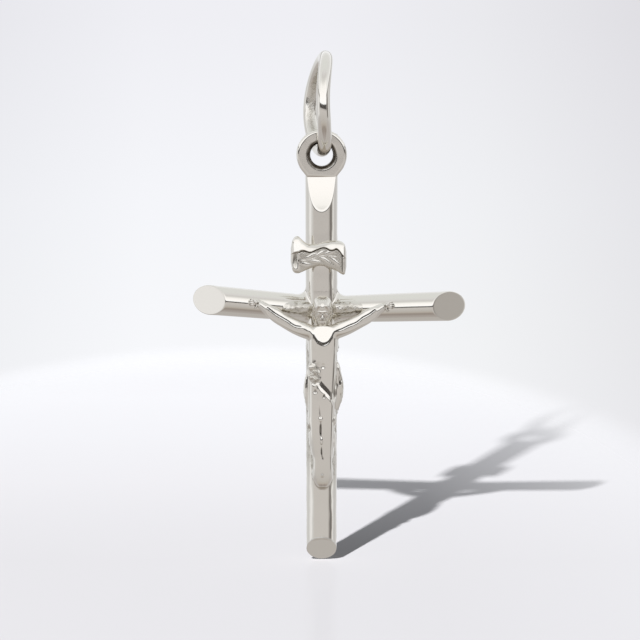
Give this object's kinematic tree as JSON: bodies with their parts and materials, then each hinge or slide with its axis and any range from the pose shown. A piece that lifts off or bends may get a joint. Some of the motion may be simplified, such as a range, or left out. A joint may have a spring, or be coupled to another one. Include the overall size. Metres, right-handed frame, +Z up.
{
  "type": "crucifix pendant",
  "caption": "Round-bar crucifix pendant with slant-cut ends and a cast figure under a plain title scroll, hanging by its eyelet on a jump ring.",
  "frame": {"origin": "the chain seat: inside of the jump ring at its top, where a chain bears", "axes": "+Z up from the chain seat, along the pendant's length; +X to the right of a viewer who faces the figure; +Y away from that viewer, through the pendant's thickness"},
  "size_m": [0.0169, 0.0065, 0.0314],
  "materials": {
    "cast_metal": "polished cast white gold, rougher in the corners of the casting",
    "ring_wire": "polished round wire, rough and pitted on the inside of its back half"
  },
  "bodies": {
    "ring": {"jump_ring": "ring_wire"},
    "pendant": {"crucifix": "cast_metal"}
  },
  "joints": [
    {"name": "pendant_swing", "type": "hinge", "parent": "ring", "child": "pendant", "pos_m": [-0.00022, -0.00003, -0.00527], "axis": [-0.1392, 0.9903, 0], "range_deg": [-150, 150]}
  ]
}
